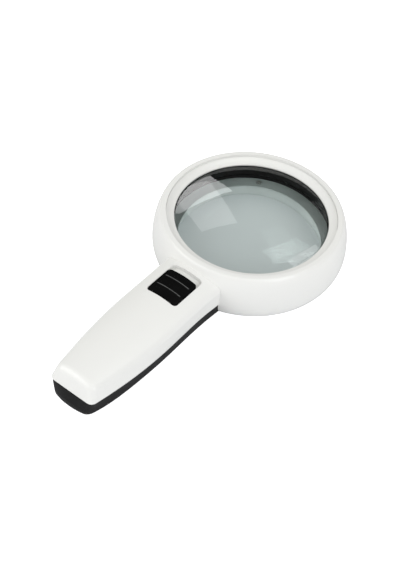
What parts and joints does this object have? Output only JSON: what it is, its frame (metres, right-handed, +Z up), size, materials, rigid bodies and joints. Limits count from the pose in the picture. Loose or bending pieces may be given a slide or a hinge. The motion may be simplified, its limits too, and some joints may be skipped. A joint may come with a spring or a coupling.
{
  "type": "low vision magnifier",
  "caption": "Handheld illuminated low vision magnifier: round double lens head with lamp ring, flat handle with sliding switch and battery bay.",
  "frame": {"origin": "on the lens axis at the plane that the magnifier rests on", "axes": "+Z up along the lens axis, the handle runs along -Y, +X to the right seen from the handle's end"},
  "size_m": [0.112, 0.2099, 0.0315],
  "materials": {
    "white_gloss": "glossy injection moulded white",
    "optical": "polished clear, faint green edge tint",
    "seal_rubber": "soft matt",
    "black_satin": "satin black moulding",
    "lamp_white": "white moulding of the lamp ring",
    "black_shell": "fine textured charcoal black",
    "black_gloss": "polished black",
    "board_green": "solder mask",
    "lamp_clear": "clear epoxy lamp over pale phosphor",
    "screw_steel": "zinc plated",
    "plate_steel": "stamped plate",
    "resistor_black": "ceramic chip with tinned ends",
    "tray_grey": "moulded tray",
    "cell_wrap": "printed sleeve without any mark",
    "contact_nickel": "nickel plated",
    "lead_red": "PVC insulation",
    "lead_black": "PVC insulation"
  },
  "bodies": {
    "root": {"battery_lead_black": "lead_black", "battery_lead_red": "lead_red", "battery_tray": "tray_grey", "bezel_ring": "white_gloss", "board_screws": "screw_steel", "cell_left": "cell_wrap", "cell_right": "cell_wrap", "cell_top": "cell_wrap", "contact_plates": "contact_nickel", "contact_springs": "contact_nickel", "cover_screws": "screw_steel", "handle_front_cover": "black_shell", "handle_top_shell": "white_gloss", "head_ring": "white_gloss", "lamp_cap": "lamp_white", "lamp_housing": "lamp_white", "lamp_lead_black": "lead_black", "lamp_lead_red": "lead_red", "lamp_screws": "screw_steel", "led_board": "board_green", "led_lamps": "lamp_clear", "lens_barrel": "black_satin", "lens_seal": "seal_rubber", "lens_spacer": "black_satin", "lower_lens": "optical", "main_board": "board_green", "neck_plate": "plate_steel", "neck_screws": "screw_steel", "resistors": "resistor_black", "switch_can": "plate_steel", "upper_lens": "optical"},
    "switch": {"switch_knob": "black_gloss", "switch_carrier": "black_satin", "switch_lever": "black_satin"},
    "battery_lid": {"battery_cover": "black_shell"}
  },
  "joints": [
    {"name": "switch_slide", "type": "slide", "parent": "root", "child": "switch", "axis": [0, 1, 0], "range_m": [0, 0.004]},
    {"name": "battery_lid_slide", "type": "slide", "parent": "root", "child": "battery_lid", "axis": [0, -1, 0], "range_m": [0, 0.06]}
  ]
}
